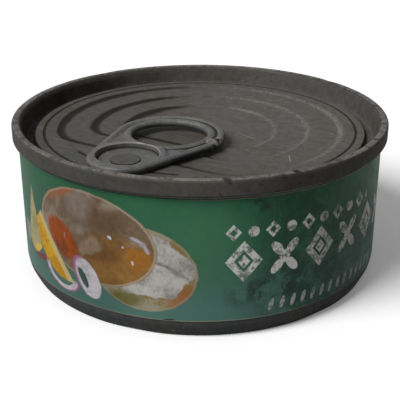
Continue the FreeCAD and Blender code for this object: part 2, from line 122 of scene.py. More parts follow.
class Wire:
    # one socket that can be used in sums
    def __init__(self, finish, socket):
        self.finish = finish
        self.socket = socket

    def __add__(self, other):
        return self.finish.maths("ADD", self, other)

    def __sub__(self, other):
        return self.finish.maths("SUBTRACT", self, other)

    def __rsub__(self, other):
        return self.finish.maths("SUBTRACT", other, self)

    def __mul__(self, other):
        return self.finish.maths("MULTIPLY", self, other)

    def __abs__(self):
        return self.finish.maths("ABSOLUTE", self, 0.0)

    __radd__ = __add__
    __rmul__ = __mul__


class Finish:
    # the nodes of one material or world, built from sums of wires
    def __init__(self, owner):
        owner.use_nodes = True
        self.owner = owner
        self.tree = owner.node_tree
        self.tree.nodes.clear()

    def node(self, kind, settings=None, sockets=None, output=0):
        made = self.tree.nodes.new(kind)
        for name, value in (settings or {}).items():
            if name == "stops":
                ramp = made.color_ramp.elements
                ramp[0].position, ramp[0].color = value[0]
                ramp[1].position, ramp[1].color = value[-1]
                for place, colour in value[1:-1]:
                    ramp.new(place).color = colour
            else:
                setattr(made, name, value)
        for name, value in (sockets or {}).items():
            if isinstance(value, Wire):
                self.tree.links.new(value.socket, made.inputs[name])
            else:
                made.inputs[name].default_value = value
        return Wire(self, made.outputs[output]) if made.outputs else None

    def maths(self, operation, first, second):
        return self.node("ShaderNodeMath", {"operation": operation}, {0: first, 1: second})

    def vector(self, operation, sockets, output=0):
        return self.node("ShaderNodeVectorMath", {"operation": operation}, sockets, output)

    def step(self, value, low, high):
        # 0 below low, 1 above high, smooth between; low may be the larger one
        return self.node("ShaderNodeMapRange", {"interpolation_type": "SMOOTHSTEP"},
                         {"Value": value, "From Min": low, "From Max": high})

    def mix(self, below, above, factor, blend="MIX"):
        return self.node("ShaderNodeMix", {"data_type": "RGBA", "blend_type": blend},
                         {0: factor, 6: below, 7: above}, 2)

    def cloud(self, place, scale, detail=2.0, roughness=0.5, shift=0.0):
        moved = self.node("ShaderNodeMapping", None,
                          {"Vector": place, "Location": (shift, -shift, shift * 0.7)})
        return self.node("ShaderNodeTexNoise", None,
                         {"Vector": moved, "Scale": scale, "Detail": detail, "Roughness": roughness})

    def streaks(self, place, turn, fineness, shift=0.0):
        # noise drawn out into thin lines
        drawn = self.node("ShaderNodeMapping", None,
                          {"Vector": place, "Location": (shift, shift, shift), "Rotation": turn,
                           "Scale": (0.07, fineness, fineness)})
        return self.node("ShaderNodeTexNoise", None, {"Vector": drawn, "Scale": 1.0, "Detail": 2.0})

    def oval(self, place, middle, size, turn=0.0):
        # 0 at the middle, 1 on the outline
        inside = self.node("ShaderNodeMapping", {"vector_type": "TEXTURE"}, {
            "Vector": place, "Location": (*middle, 0.0), "Rotation": (0.0, 0.0, math.radians(turn)),
            "Scale": (*size, 1.0)})
        return self.vector("LENGTH", {0: self.vector("MULTIPLY", {0: inside, 1: (1.0, 1.0, 0.0)})}, 1)

    def objectPlace(self):
        # object coordinates in millimetres
        raw = self.node("ShaderNodeTexCoord", None, None, 3)
        return self.vector("SCALE", {0: raw, "Scale": 1 / mm})

    def attribute(self, name):
        return self.node("ShaderNodeAttribute", {"attribute_name": name}, None, 2)

    def surface(self, colour, roughness, metallic, height, depth, **fixed):
        normal = self.node("ShaderNodeBump", None,
                           {"Strength": 1.0, "Distance": depth * mm, "Height": height})
        sockets = {"Base Color": colour, "Roughness": roughness, "Metallic": metallic, "Normal": normal}
        sockets.update(fixed)
        if not isinstance(height, Wire):
            del sockets["Normal"]
        shader = self.node("ShaderNodeBsdfPrincipled", None, sockets)
        self.node("ShaderNodeOutputMaterial", None, {"Surface": shader})
        return self.owner


# worn tinplate
canSteel = {
    "base": tint(84, 82, 79), "warm": tint(85, 81, 75), "cool": tint(79, 81, 80),
    "wearAndHighlight": tint(134, 131, 127), "hollowDark": tint(34, 31, 28), "scratch": tint(150, 147, 143),
    "metallic": 0.14, "roughness": 0.45, "scratches": 0.5, "wear": 0.7, "grain": 0.18, "marks": (),
}
lidSteel = dict(canSteel, base=tint(87, 85, 82), marks=(
    # single scratches: x, y, half length, half width, turn, strength
    (14.4, 1.4, 3.9, 0.10, -16.6, 0.9), (32.3, -9.4, 2.8, 0.16, -59.0, 0.8),
    (26.6, -1.8, 3.8, 0.07, 55.0, 0.6), (26.7, 13.2, 3.6, 0.07, 77.0, 0.5),
    (33.0, 24.6, 3.7, 0.07, -40.0, 0.6), (36.0, 1.0, 2.2, 0.09, 80.0, 0.6),
    (-14.0, 18.0, 3.0, 0.08, 40.0, 0.7), (-22.0, -4.0, 2.2, 0.08, 60.0, 0.6),
    (8.0, 30.0, 3.6, 0.07, 15.0, 0.6)))
tabSteel = dict(canSteel, base=tint(98, 98, 97), warm=tint(94, 91, 87), cool=tint(94, 97, 97),
                scratches=0.4, wear=0.85, grain=0.42)
baseSteel = dict(canSteel, base=tint(63, 65, 65), warm=tint(66, 65, 62), cool=tint(60, 65, 66),
                 scratches=0.3, wear=0.5)


def metalFinish(name, look, shift):
    f = Finish(bpy.data.materials.new(name))
    place = f.objectPlace()
    wide = f.cloud(place, 0.055, 3.0, 0.55, shift)
    patch = f.cloud(place, 0.12, 3.0, 0.6, shift + 31)
    speck = f.cloud(place, 1.3, 4.0, 0.65, shift + 7)
    grain = f.cloud(place, 5.0, 2.0, 0.6, shift + 3)
    edge = f.attribute("edge")
    hollow = f.attribute("hollow")

    colour = f.mix(look["base"], look["warm"], f.step(wide, 0.45, 0.65) * 0.7)
    colour = f.mix(colour, look["cool"], f.step(patch, 0.50, 0.70) * 0.5)
    blot = f.step(f.cloud(place, 0.42, 5.0, 0.7, shift + 90), 0.38, 0.62)
    shade = 0.60 + 0.42 * speck + look["grain"] * grain + 0.5 * (0.18 - look["grain"]) + 0.2 * blot
    # the tone attribute carries each piece's painted light and painted shade, besides its own lighter and
    # darker parts
    shade = shade * f.attribute("tone")
    colour = f.mix(colour, shade, 1.0, "MULTIPLY")

    # scratches in three directions, each only here and there
    lines = None
    for number, turn in enumerate(((0.1, 0.0, 0.4), (0.0, 0.2, -0.75), (0.3, 0.1, 1.35))):
        line = f.step(f.streaks(place, turn, 2.6 - 0.5 * number, shift + 11 * number), 0.665, 0.72)
        where = f.step(f.cloud(place, 0.11, 2.0, 0.5, shift + 50 + 17 * number), 0.50, 0.62)
        lines = line * where if lines is None else f.maths("MAXIMUM", lines, line * where)
    lines = lines * f.step(f.attribute("tone"), 0.62, 0.95)
    for x, y, length, width, turn, strength in look["marks"]:
        mark = f.step(f.oval(place, (x, y), (length, width), turn), 1.3, 0.4) * f.step(speck, 0.32, 0.50)
        lines = f.maths("MAXIMUM", lines, mark * (strength / look["scratches"]))
    colour = f.mix(colour, look["scratch"], lines * look["scratches"])

    # lighter where the edge attribute is high: rubbed wear, and on the lid's terraces also painted
    # highlight on the steps that face the light
    wearAndHighlight = f.step(edge + (speck - 0.5) * 0.9 + (wide - 0.5) * 0.6, 0.42, 0.95)
    colour = f.mix(colour, look["wearAndHighlight"], wearAndHighlight * look["wear"])
    # darker where the hollow attribute is high: dirt, and painted shade where the lid and rivet put shade
    # into that attribute
    dirtAndShade = f.step(hollow + (patch - 0.5) * 0.5, 0.30, 0.85)
    colour = f.mix(colour, look["hollowDark"], dirtAndShade * 0.85)

    roughness = look["roughness"] + 0.16 * (patch - 0.5) + 0.10 * dirtAndShade - 0.10 * wearAndHighlight + 0.10 * (speck - 0.5)
    height = 0.55 * speck + 0.18 * grain - 0.5 * lines
    return f.surface(colour, roughness, look["metallic"], height, 0.035, **{"Specular IOR Level": 0.0})


# turned pieces: Geometry Nodes sweep a profile in the XZ plane round the Z axis
def buildTurnTree():
    tree = bpy.data.node_groups.new("turnedPiece", "GeometryNodeTree")
    tree.interface.new_socket("Profile", in_out="INPUT", socket_type="NodeSocketGeometry")
    for name, kind in (("Segments", "NodeSocketInt"), ("Start", "NodeSocketFloat"),
                       ("Finish", "NodeSocketMaterial")):
        tree.interface.new_socket(name, in_out="INPUT", socket_type=kind)
    tree.interface.new_socket("Piece", in_out="OUTPUT", socket_type="NodeSocketGeometry")
    links = tree.links

    def add(kind, settings=None, sockets=None):
        made = tree.nodes.new(kind)
        for name, value in (settings or {}).items():
            setattr(made, name, value)
        for name, value in (sockets or {}).items():
            if isinstance(value, bpy.types.NodeSocket):
                links.new(value, made.inputs[name])
            else:
                made.inputs[name].default_value = value
        return made

    def maths(operation, first, second):
        return add("ShaderNodeMath", {"operation": operation}, {0: first, 1: second}).outputs[0]

    source = add("NodeGroupInput").outputs
    count = add("GeometryNodeAttributeDomainSize", {"component": "MESH"}, {0: source["Profile"]}).outputs[0]
    columns = maths("ADD", source["Segments"], 1.0)
    sizeY = maths("SUBTRACT", count, 1.0)
    grid = add("GeometryNodeMeshGrid", None, {"Size X": source["Segments"], "Size Y": sizeY,
                                              "Vertices X": columns, "Vertices Y": count})
    split = add("ShaderNodeSeparateXYZ", None, {0: add("GeometryNodeInputPosition").outputs[0]}).outputs
    column = maths("ADD", split[0], maths("DIVIDE", source["Segments"], 2.0))
    row = maths("ROUND", maths("ADD", split[1], maths("DIVIDE", sizeY, 2.0)), 0.0)
    swept = maths("DIVIDE", maths("MULTIPLY", column, tau), source["Segments"])
    angle = maths("ADD", swept, source["Start"])
    sample = add("GeometryNodeSampleIndex", {"data_type": "FLOAT_VECTOR"}, {
        "Geometry": source["Profile"], "Value": add("GeometryNodeInputPosition").outputs[0], "Index": row})
    point = add("ShaderNodeSeparateXYZ", None, {0: sample.outputs[0]}).outputs
    spot = add("ShaderNodeCombineXYZ", None, {
        0: maths("MULTIPLY", point[0], maths("COSINE", angle, 0.0)),
        1: maths("MULTIPLY", point[0], maths("SINE", angle, 0.0)),
        2: point[2]}).outputs[0]
    flat = add("ShaderNodeCombineXYZ", None, {0: swept, 1: point[2]}).outputs[0]
    shape = grid.outputs[0]
    for kind, settings, sockets in (
            ("StoreNamedAttribute", {"data_type": "FLOAT2", "domain": "CORNER"},
             {"Name": "unrolled", "Value": flat}),
            ("SetPosition", None, {"Position": spot}), ("MergeByDistance", None, {"Distance": 1e-7}),
            ("SetShadeSmooth", None, {}), ("RealizeInstances", None, {}),
            ("SetMaterial", None, {"Material": source["Finish"]})):
        shape = add("GeometryNode" + kind, settings, {"Geometry": shape, **sockets}).outputs[0]
    links.new(shape, add("NodeGroupOutput").inputs[0])
    return tree


turnTree = buildTurnTree()


def roundedLine(corners, arcSteps=7):
    # corners are (x, y) or (x, y, radius); a corner with a radius becomes an arc
    line = []
    for index, corner in enumerate(corners):
        here = Vector(corner[:2])
        if len(corner) < 3:
            line.append(here)
            continue
        back = (Vector(corners[index - 1][:2]) - here).normalized()
        ahead = (Vector(corners[index + 1][:2]) - here).normalized()
        half = back.angle(ahead) / 2
        middle = here + (back + ahead).normalized() * corner[2] / math.sin(half)
        first = here + back * corner[2] / math.tan(half) - middle
        last = here + ahead * corner[2] / math.tan(half) - middle
        for step in range(arcSteps + 1):
            line.append(middle + first.slerp(last, step / arcSteps) * corner[2])
    return line


def newMesh(name, points, faces=(), edges=()):
    mesh = bpy.data.meshes.new(name)
    mesh.from_pydata([tuple(p) for p in points], list(edges), list(faces))
    mesh.update()
    return link(bpy.data.objects.new(name, mesh))


def bake(thing):
    # a plain mesh in place of the modifiers
    graph = bpy.context.evaluated_depsgraph_get()
    mesh = bpy.data.meshes.new_from_object(thing.evaluated_get(graph))
    mesh.set_sharp_from_angle(angle=math.radians(40))
    thing.modifiers.clear()
    thing.data = mesh
    return thing


def turned(name, line, segments, finish, start=0.0):
    points = [(x * mm, 0.0, z * mm) for x, z in line]
    edges = [(i, i + 1) for i in range(len(points) - 1)]
    piece = newMesh(name, points, edges=edges)
    modifier = piece.modifiers.new("turn", "NODES")
    modifier.node_group = turnTree
    inputs = [item for item in turnTree.interface.items_tree if item.in_out == "INPUT"]
    sockets = {item.name: item.identifier for item in inputs}
    modifier[sockets["Segments"]] = segments
    modifier[sockets["Start"]] = start
    modifier[sockets["Finish"]] = finish
    return bake(piece)


def meshArrays(mesh):
    # the points' places and normals, and the two ends of every edge
    def read(items, name, width, kind=float):
        values = np.zeros(len(items) * width, kind)
        items.foreach_get(name, values)
        return values.reshape(-1, width)

    points, edges = mesh.vertices, mesh.edges
    return read(points, "co", 3), read(points, "normal", 3), read(edges, "vertices", 2, int)


def store(piece, **wear):
    # one value for every point, under the names that metalFinish reads
    for name, values in wear.items():
        attributes = piece.data.attributes
        stored = attributes.get(name) or attributes.new(name, "FLOAT", "POINT")
        stored.data.foreach_set("value", values)


def markWear(piece, reach, passes=4):
    # edge and hollow attributes from how sharply the surface bends; reach is a radius in mm
    spots, normals, ends = meshArrays(piece.data)
    spots = spots / mm
    a, b = ends[:, 0], ends[:, 1]
    across = spots[a] - spots[b]
    length = np.maximum((across ** 2).sum(1), 1e-6)
    bendA = 2 * (normals[a] * across).sum(1) / length
    bendB = -2 * (normals[b] * across).sum(1) / length
    highest = np.full(len(spots), -1e9)
    lowest = np.full(len(spots), 1e9)
    for end, bend in ((a, bendA), (b, bendB)):
        np.maximum.at(highest, end, bend)
        np.minimum.at(lowest, end, bend)
    degree = np.bincount(a, minlength=len(spots)) + np.bincount(b, minlength=len(spots))
    wear = []
    for value in (highest, -lowest):
        value = np.clip(value * reach, 0, 1.5)
        for _ in range(passes):
            total = np.zeros(len(spots))
            np.add.at(total, a, value[b])
            np.add.at(total, b, value[a])
            value = 0.5 * value + 0.5 * total / np.maximum(degree, 1)
        wear.append(value)
    store(piece, edge=wear[0], hollow=wear[1])
    return wear


def dent(piece, radius, dents, frequency, amount):
    # soft knocks and a faint unevenness, always inwards so that the piece keeps its size
    spots, normals, _ = meshArrays(piece.data)
    spots = spots / mm
    push = np.zeros(len(spots))
    for index, spot in enumerate(spots):
        push[index] = amount * (0.5 + 0.5 * noise.noise(Vector(spot) * frequency))
    for azimuth, level, reach, depth in dents:
        place = around(azimuth, 0) * radius
        away = ((spots - (place.x, place.y, level)) ** 2).sum(1) / reach ** 2
        push += depth * np.exp(-away)
    spots = spots - normals * push[:, None]
    piece.data.vertices.foreach_set("co", (spots * mm).ravel())
    piece.data.update()


def coat(piece, finish):
    # smooth shading and one material all over
    for polygon in piece.data.polygons:
        polygon.use_smooth = True
    piece.data.materials.append(finish)


# can shell: foot, corner and wall
shell = {
    "footInset": 1.6, "footWidth": 1.5, "footFlank": 1.1, "footRound": 0.75,
    "cornerRise": 3.4, "cornerRound": 4.0,
    "recess": 2.4, "step": 0.5, "beadPitch": 8.0, "slope": 0.5, "bend": 0.6,
    "stripLevel": 36.0, "stripTone": 2.3,  # bare strip between the label and the seam, painted lighter against the seam's shadow
    "shadeLevel": 37.4, "shadeTone": 0.1,  # painted shadow close under the seam
    "capRadius": 48.15, "capLevel": 36.1,  # hidden top, clear of the lid's channel
    "segments": 288,
    # dents: azimuth, level, reach, depth
    "dents": ((12, 3.0, 5.0, 0.25), (70, 2.6, 4.0, 0.22), (-60, 2.0, 6.0, 0.2)),
}


def makeShell():
    wall, top = wallHigh.x / mm, wallHigh.z / mm
    footOuter = wall - shell["footInset"]
    footInner = footOuter - shell["footWidth"]
    edge = footInner - shell["footFlank"]
    first, second = edge - shell["beadPitch"], edge - 2 * shell["beadPitch"]
    low, step, slope, bend = shell["recess"], shell["step"], shell["slope"], shell["bend"]
    strip, shade = shell["stripLevel"], shell["shadeLevel"]
    line = roundedLine([
        (0.0, low + 2 * step), (second - slope, low + 2 * step, bend), (second, low + step, bend),
        (first - slope, low + step, bend), (first, low, bend), (edge, low, bend),
        (footInner, 0.0, bend), (footOuter, 0.0, shell["footRound"]),
        (wall, shell["cornerRise"], shell["cornerRound"]),
        (wall, strip + 0.3), (wall, shade - 0.1), (wall, shade + 0.05), (wall, top),
        (shell["capRadius"] + 0.5, top), (shell["capRadius"], shell["capLevel"]), (0.0, shell["capLevel"])])
    piece = turned("canShell", line, shell["segments"], metalFinish("baseSteel", baseSteel, 0.0))
    dent(piece, wall, shell["dents"], 0.12, 0.05)
    markWear(piece, 0.5)
    height = meshArrays(piece.data)[0][:, 2] / mm
    # painted light on the bare strip above the label, and painted shadow close under the seam
    tone = np.where(height > strip, shell["stripTone"], 1.0)
    store(piece, tone=np.where(height > shade, shell["shadeTone"], tone))
    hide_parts("can_body")
    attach(piece, "root")


makeShell()
print("shell made")


# label: a printed sleeve, drawn on its own unrolled coordinates
label = {
    "segments": 288, "start": -133.0,  # degrees from +X where the unrolled drawing begins
    "first": -75.0, "last": 105.0,  # the design in degrees round the can; it is printed twice
    "greenTop": tint(46, 96, 67), "greenMid": tint(55, 92, 75), "greenLow": tint(74, 110, 100),
    "greenFresh": tint(62, 110, 80), "dirtAndShade": tint(25, 46, 36), "smudge": tint(34, 44, 42),
    "edgeLine": tint(128, 118, 106), "dash": tint(40, 44, 42),
    "topLine": 36.78, "bottomLine": 5.18,  # mm above the ground
    "roughness": 0.56, "bumpDepth": 0.03, "specular": 0.10,
}
perDegree = labelHigh.x / mm * math.pi / 180  # mm of label for each degree


def at(degrees, height):
    # a place on the unrolled label, in mm
    return degrees * perDegree, height


class Print(Finish):
    # shapes on the unrolled label; every place and size is in mm
    def __init__(self, owner):
        super().__init__(owner)
        unrolled = self.node("ShaderNodeUVMap", {"uv_map": "unrolled"})
        spread = self.node("ShaderNodeSeparateXYZ", None, {0: unrolled})
        across = (spread * (180 / math.pi) + label["first"]) * perDegree
        self.across = self.node("ShaderNodeMath", {"operation": "WRAP"}, {
            0: across, 1: label["last"] * perDegree, 2: label["first"] * perDegree})
        self.height = Wire(self, spread.socket.node.outputs[1]) * (1 / mm)
        self.spot = self.objectPlace()
        self.flat = self.join(self.across, self.height)
        self.place = self.wobble(0.5, 0.5, 4.0)
        self.soft = self.wobble(0.16, 5.0, 23.0)
        self.wide = self.cloud(self.spot, 0.07, 3.0, 0.55, 12.0)
        self.patch = self.cloud(self.spot, 0.22, 4.0, 0.6, 41.0)
        self.speck = self.cloud(self.spot, 1.1, 4.0, 0.65, 5.0)
        self.grain = self.cloud(self.spot, 4.0, 2.0, 0.6, 9.0)
        self.mottle = self.cloud(self.spot, 0.7, 4.0, 0.7, 77.0)

    def join(self, across, height):
        return self.node("ShaderNodeCombineXYZ", None, {0: across, 1: height})

    def wobble(self, scale, amount, shift):
        # the flat place pushed about a little, so that outlines aren't ruler-drawn
        moved = {"Vector": self.spot, "Location": (shift, shift, -shift)}
        raw = self.node("ShaderNodeMapping", None, moved)
        texture = self.node("ShaderNodeTexNoise", None, {"Vector": raw, "Scale": scale, "Detail": 2.0}, 1)
        centred = self.vector("SUBTRACT", {0: texture, 1: (0.5, 0.5, 0.5)})
        return self.vector("ADD", {0: self.flat, 1: self.vector("SCALE", {0: centred, "Scale": amount})})

    def blend(self, first, second, low, high, fine=0.6, base=None):
        # two colours in patches; fine is how much of the finer pattern breaks them up
        base = self.patch if base is None else base
        finer = self.speck if base is self.patch else self.patch
        return self.mix(first, second, self.step(base + (finer - 0.5) * fine, low, high))

    def blob(self, place, middle, size, turn=0.0, soft=0.06):
        return self.step(self.oval(place, middle, size, turn), 1 + soft, 1 - soft)

    def dabs(self, colour, place, marks):
        # a list of coloured ovals painted one over the other
        for paint, middle, size, turn, soft, strength in marks:
            colour = self.mix(colour, paint, self.blob(place, middle, size, turn, soft) * strength)
        return colour

    def side(self, first, last, soft=0.3):
        # 1 on the left of the line from first to last
        run = Vector(last) - Vector(first)
        across = Vector((-run.y, run.x)).normalized()
        distance = self.vector("DOT_PRODUCT", {0: self.place, 1: (across.x, across.y, 0.0)}, 1)
        return self.step(distance - across.dot(Vector(first)), -soft, soft)

    def least(self, first, second):
        return self.maths("MINIMUM", first, second)

    def most(self, first, second):
        return self.maths("MAXIMUM", first, second)


# dabs are: colour, middle, half size, turn in degrees, softness, strength
bread = {
    "outline": ((-14.48, 18.2), (14.1, 11.0), -10.4), "crumbLine": ((-13.4, 19.2), (11.8, 8.2), -10.4),
    "crumb": (tint(134, 132, 127), tint(178, 175, 170)), "crust": (tint(146, 139, 120), tint(126, 109, 64)),
    "rim": tint(146, 137, 118),
    "herbs": ((tint(90, 88, 42), at(-22, 9.8), (5.0, 2.0), -5.0, 0.5, 0.8),),
    "baked": ((tint(140, 94, 54), at(-4.5, 11.5), (4.2, 3.0), 25.0, 0.5, 0.9),),
    "fold": ((tint(84, 82, 68), (-7.4, 19.0), (5.4, 0.55), -24.0, 0.9, 0.6),
             (tint(188, 184, 176), (-8.2, 17.9), (4.8, 0.6), -24.0, 0.8, 0.6)),
}
meat = {
    "outline": ((-28.11, 23.62), (18.13, 11.94), -6.2),
    "flesh": (tint(112, 93, 76), tint(148, 134, 117)), "jelly": (tint(114, 82, 45), tint(141, 103, 54)),
    "carrot": (tint(120, 58, 22), tint(152, 72, 22)), "rim": tint(172, 158, 138),
    "jellyPlace": (at(-25.0, 18.3), (12.8, 7.4), 8.0, 0.22),
    "carrotPlace": ((-37.6, 21.0), (6.3, 4.1), -40.0, 0.14),
    "above": ((tint(100, 80, 56), at(-27, 28.5), (7.0, 3.6), 10.0, 0.5, 0.8),
              (tint(136, 122, 113), at(-36, 31.0), (4.0, 3.2), 0.0, 0.5, 0.8),
              (tint(152, 100, 68), at(-43.5, 33.2), (5.4, 1.5), 24.0, 0.6, 1.0)),
    "within": ((tint(148, 97, 38), at(-17.2, 20.6), (2.6, 3.4), 0.0, 0.4, 0.9),
               (tint(106, 72, 40), at(-27, 20.0), (3.6, 2.6), 0.0, 0.5, 0.8),
               (tint(140, 118, 96), at(-33.0, 21.2), (3.8, 2.3), 14.0, 0.25, 1.0)),
    "glints": ((tint(150, 150, 162), at(-42.2, 22.1), (0.3, 0.9), 0.0, 0.35, 0.5),
               (tint(216, 216, 228), at(-25.5, 25.1), (0.6, 0.4), -30.0, 0.35, 0.9),
               (tint(200, 200, 212), at(-21.5, 23.2), (0.3, 0.3), 0.0, 0.35, 0.8),
               (tint(200, 200, 212), at(-18.7, 19.5), (0.3, 0.6), 15.0, 0.35, 0.8),
               (tint(172, 172, 184), at(-17.4, 25.6), (1.7, 0.5), -22.0, 0.35, 0.8),
               (tint(160, 160, 172), at(-15.6, 24.6), (0.9, 0.8), 10.0, 0.35, 0.6),
               (tint(172, 172, 184), at(-14.6, 23.4), (0.5, 1.1), 25.0, 0.35, 0.7)),
}
fruit = {
    "pulp": (tint(190, 138, 22), tint(216, 166, 36)), "rind": tint(204, 186, 132),
    "lemon": (tint(148, 141, 95), tint(172, 164, 115)), "shade": tint(150, 150, 138),
    "peel": ((tint(214, 186, 78), at(-57.0, 13.4), (3.4, 1.4), 12.0, 0.4, 1.0),),
}
onion = {
    "flesh": (tint(178, 174, 176), tint(210, 204, 210)),
    "skin": tint(158, 98, 136), "backSkin": tint(122, 52, 62), "seenThrough": tint(56, 84, 74),
    "back": ((-50.2, 16.4), (7.8, 5.7), -6.0), "thin": ((-38.94, 11.11), (6.9, 4.3), -18.7),
    "front": ((-29.55, 12.55), (6.05, 3.65), -56.2), "hole": ((-30.6, 12.2), (2.9, 1.05), -60.0),
}
ornament = {
    "ink": tint(205, 205, 202), "wornInk": tint(120, 122, 118),
    # rows: start and pitch in degrees, height
    "small": (6.2, 5.6, 28.3), "large": (6.0, 12.0, 20.7), "stroke": (18.5, 3.5, 8.2),
}


def drawGround(f):
    # green, fresher above and bluer below
    ramp = f.node("ShaderNodeValToRGB", {"stops": (
        (0.20, label["greenLow"]), (0.52, label["greenMid"]), (0.85, label["greenTop"]))},
        {"Fac": (f.height + (f.wide - 0.5) * 14.0) * (1 / 40)})
    return f.mix(ramp, label["greenFresh"], f.blob(f.place, at(2, 26), (8.5, 9.0), 0.0, 0.7) * 0.7)


def drawBread(f, colour):
    radius = f.oval(f.place, *bread["outline"])
    inner = f.oval(f.place, *bread["crumbLine"])
    crust = f.blend(*bread["crust"], 0.42, 0.60)
    crust = f.dabs(crust, f.soft, bread["herbs"])
    crust = f.dabs(crust, f.place, bread["baked"])
    crumb = f.blend(*bread["crumb"], 0.30, 0.58, 0.4)
    loaf = f.mix(crust, crumb, f.step(inner + (f.patch - 0.5) * 0.5, 1.04, 0.96))
    loaf = f.dabs(loaf, f.soft, bread["fold"])
    loaf = f.mix(loaf, bread["rim"], f.step(abs(radius - 0.975), 0.03, 0.01) * 0.45)
    return f.mix(colour, loaf, f.step(radius, 1.02, 0.985))


def drawMeat(f, colour):
    radius = f.oval(f.place, *meat["outline"])
    body = f.blend(*meat["flesh"], 0.40, 0.62, 0.6, f.wide)
    body = f.dabs(body, f.soft, meat["above"])
    jelly = f.blend(*meat["jelly"], 0.38, 0.62, 0.5, f.wide)
    body = f.mix(body, jelly, f.blob(f.soft, *meat["jellyPlace"]))
    body = f.dabs(body, f.soft, meat["within"])
    carrot = f.mix(*meat["carrot"], f.step(f.patch, 0.40, 0.60))
    body = f.mix(body, carrot, f.blob(f.place, *meat["carrotPlace"]))
    body = f.mix(body, 0.55 + 0.9 * f.mottle, 1.0, "MULTIPLY")
    body = f.dabs(body, f.place, meat["glints"])
    body = f.mix(body, meat["rim"], f.step(abs(radius - 0.975), 0.03, 0.01) * 0.6)
    return f.mix(colour, body, f.step(radius, 1.015, 0.985))


def drawOrange(f, colour):
    # part of a disc: a straight cut with its pale rind, and a short end
    wedge = f.blob(f.place, (-36.3, 22.6), (13.3, 13.3), 0.0, 0.02)
    wedge = wedge * (1.0 - f.side((-47.1, 25.5), (-33.95, 9.6), 0.25))
    wedge = wedge * (1.0 - f.side((-50.2, 22.0), (-46.6, 25.6), 0.25))
    rind = f.side((-48.5, 24.4), (-35.35, 8.5), 0.35)
    pulp = f.mix(f.blend(*fruit["pulp"], 0.40, 0.60), fruit["rind"], rind * (0.6 + 0.5 * f.speck))
    return f.mix(colour, pulp, wedge)


def drawLemon(f, colour):
    # a bit of onion behind, then the slice in front of it
    band = f.step(abs(f.oval(f.place, *onion["back"]) - 0.88), 0.15, 0.09)
    band = band * f.step(f.height, 20.0, 16.0) * f.step(f.across, -45.2, -46.4)
    colour = f.mix(colour, onion["backSkin"], band)
    colour = f.mix(colour, fruit["shade"], f.blob(f.soft, at(-67, 16.0), (1.6, 2.6), 10.0, 0.4) * 0.8)
    tip = at(-60.4, 30.8)
    wedge = f.least(f.side(at(-54.3, 12.2), tip, 0.25), f.side(tip, at(-65.4, 14.0), 0.25))
    wedge = f.least(wedge, f.blob(f.place, at(-60.5, 21.0), (6.5, 9.3), 0.0, 0.03))
    flesh = f.mix(*fruit["lemon"], f.step(f.patch, 0.42, 0.58))
    return f.mix(colour, f.dabs(flesh, f.place, fruit["peel"]), wedge)


def drawOnions(f, colour):
    flesh = f.blend(*onion["flesh"], 0.36, 0.60)
    thin = f.oval(f.place, *onion["thin"])
    band = f.step(abs(thin - 0.86), 0.18, 0.12) * f.step(f.height + f.across * 0.18, 4.6, 3.2)
    colour = f.mix(colour, f.mix(flesh, onion["skin"], f.step(thin, 0.90, 0.97)), band)
    ring = f.oval(f.place, *onion["front"])
    hole = f.oval(f.place, *onion["hole"])
    colour = f.mix(colour, onion["seenThrough"], f.step(hole, 1.2, 1.0))
    tone = f.mix(flesh, onion["skin"], f.step(ring + (f.across + 29.8) * -0.05, 0.86, 1.04))
    return f.mix(colour, tone, f.step(ring, 1.02, 0.96) * f.step(hole, 0.9, 1.1))


def drawStains(f, colour, stainAndShade):
    # stains and flecks on the right part of the design, with an even painted shade beneath them
    stain = f.step(f.patch + (f.wide - 0.5) * 0.7 + (f.speck - 0.5) * 0.4, 0.36, 0.60)
    colour = f.mix(colour, label["dirtAndShade"], stainAndShade * (0.16 + 0.6 * stain))
    fleck = f.step(f.cloud(f.spot, 0.5, 5.0, 0.7, 61.0), 0.50, 0.62)
    colour = f.mix(colour, label["dirtAndShade"], stainAndShade * fleck * 0.42)
    smudge = f.most(f.blob(f.soft, at(20, 12.5), (9.0, 3.2), 6.0, 0.7),
                    f.blob(f.soft, at(17, 34.2), (5.0, 1.3), 0.0, 0.7))
    smudge = smudge * f.step(f.patch + (f.speck - 0.5) * 0.5, 0.40, 0.58)
    return f.mix(colour, label["smudge"], smudge * 0.85)


def ornamentMask(f):
    # three rows of plain ornament: small, large and a row of slanting strokes
    def cells(row):
        # place in a cell of the row, and 1 in every other cell
        start, pitch, level = ornament[row]
        pitch = pitch * perDegree
        run = (f.across - start * perDegree) * (1 / pitch)
        odd = f.step(f.maths("FRACT", run * 0.5, 0.0), 0.499, 0.501)
        return (f.maths("FRACT", run, 0.0) - 0.5) * pitch, f.height - level, odd

    def lozenge(x, z, width, tall):
        return abs(x) * (1 / width) + abs(z) * (1 / tall)

    def between(first, last, soft):
        return f.step(f.across, first, first + 0.2) * f.step(f.across, last, last - soft)

    x, z, odd = cells("large")
    hollow = f.step(abs(lozenge(x, z, 4.6, 5.4) - 0.76), 0.27, 0.21)
    seed = f.step(lozenge(x, z, 1.5, 1.8), 1.08, 0.92)
    petal = f.oval(f.join(abs(x), abs(z)), (1.95, 2.35), (1.15, 2.25), -40.0)
    leaves = f.most(f.step(petal, 1.06, 0.94), seed)
    large = f.mix(f.most(hollow, seed), leaves, odd) * between(5.2, 89.0, 0.4)

    x, z, odd = cells("small")
    dots = f.step(f.oval(f.join(x, z), (0.0, 0.0), (1.35, 1.35)), 1.1, 0.9)
    frames = f.step(abs(lozenge(x, z, 1.9, 2.1) - 0.74), 0.32, 0.24)
    small = f.mix(frames, dots, odd) * between(5.2, 51.0, 0.3)

    x, z, _ = cells("stroke")
    grains = f.oval(f.join(x + z * -0.25, z), (0.0, 0.0), (0.62, 1.6))
    strokes = f.step(grains, 1.15, 0.85) * between(16.2, 59.5, 0.5)
    return f.most(f.most(small * 0.92, large), strokes * 0.62)


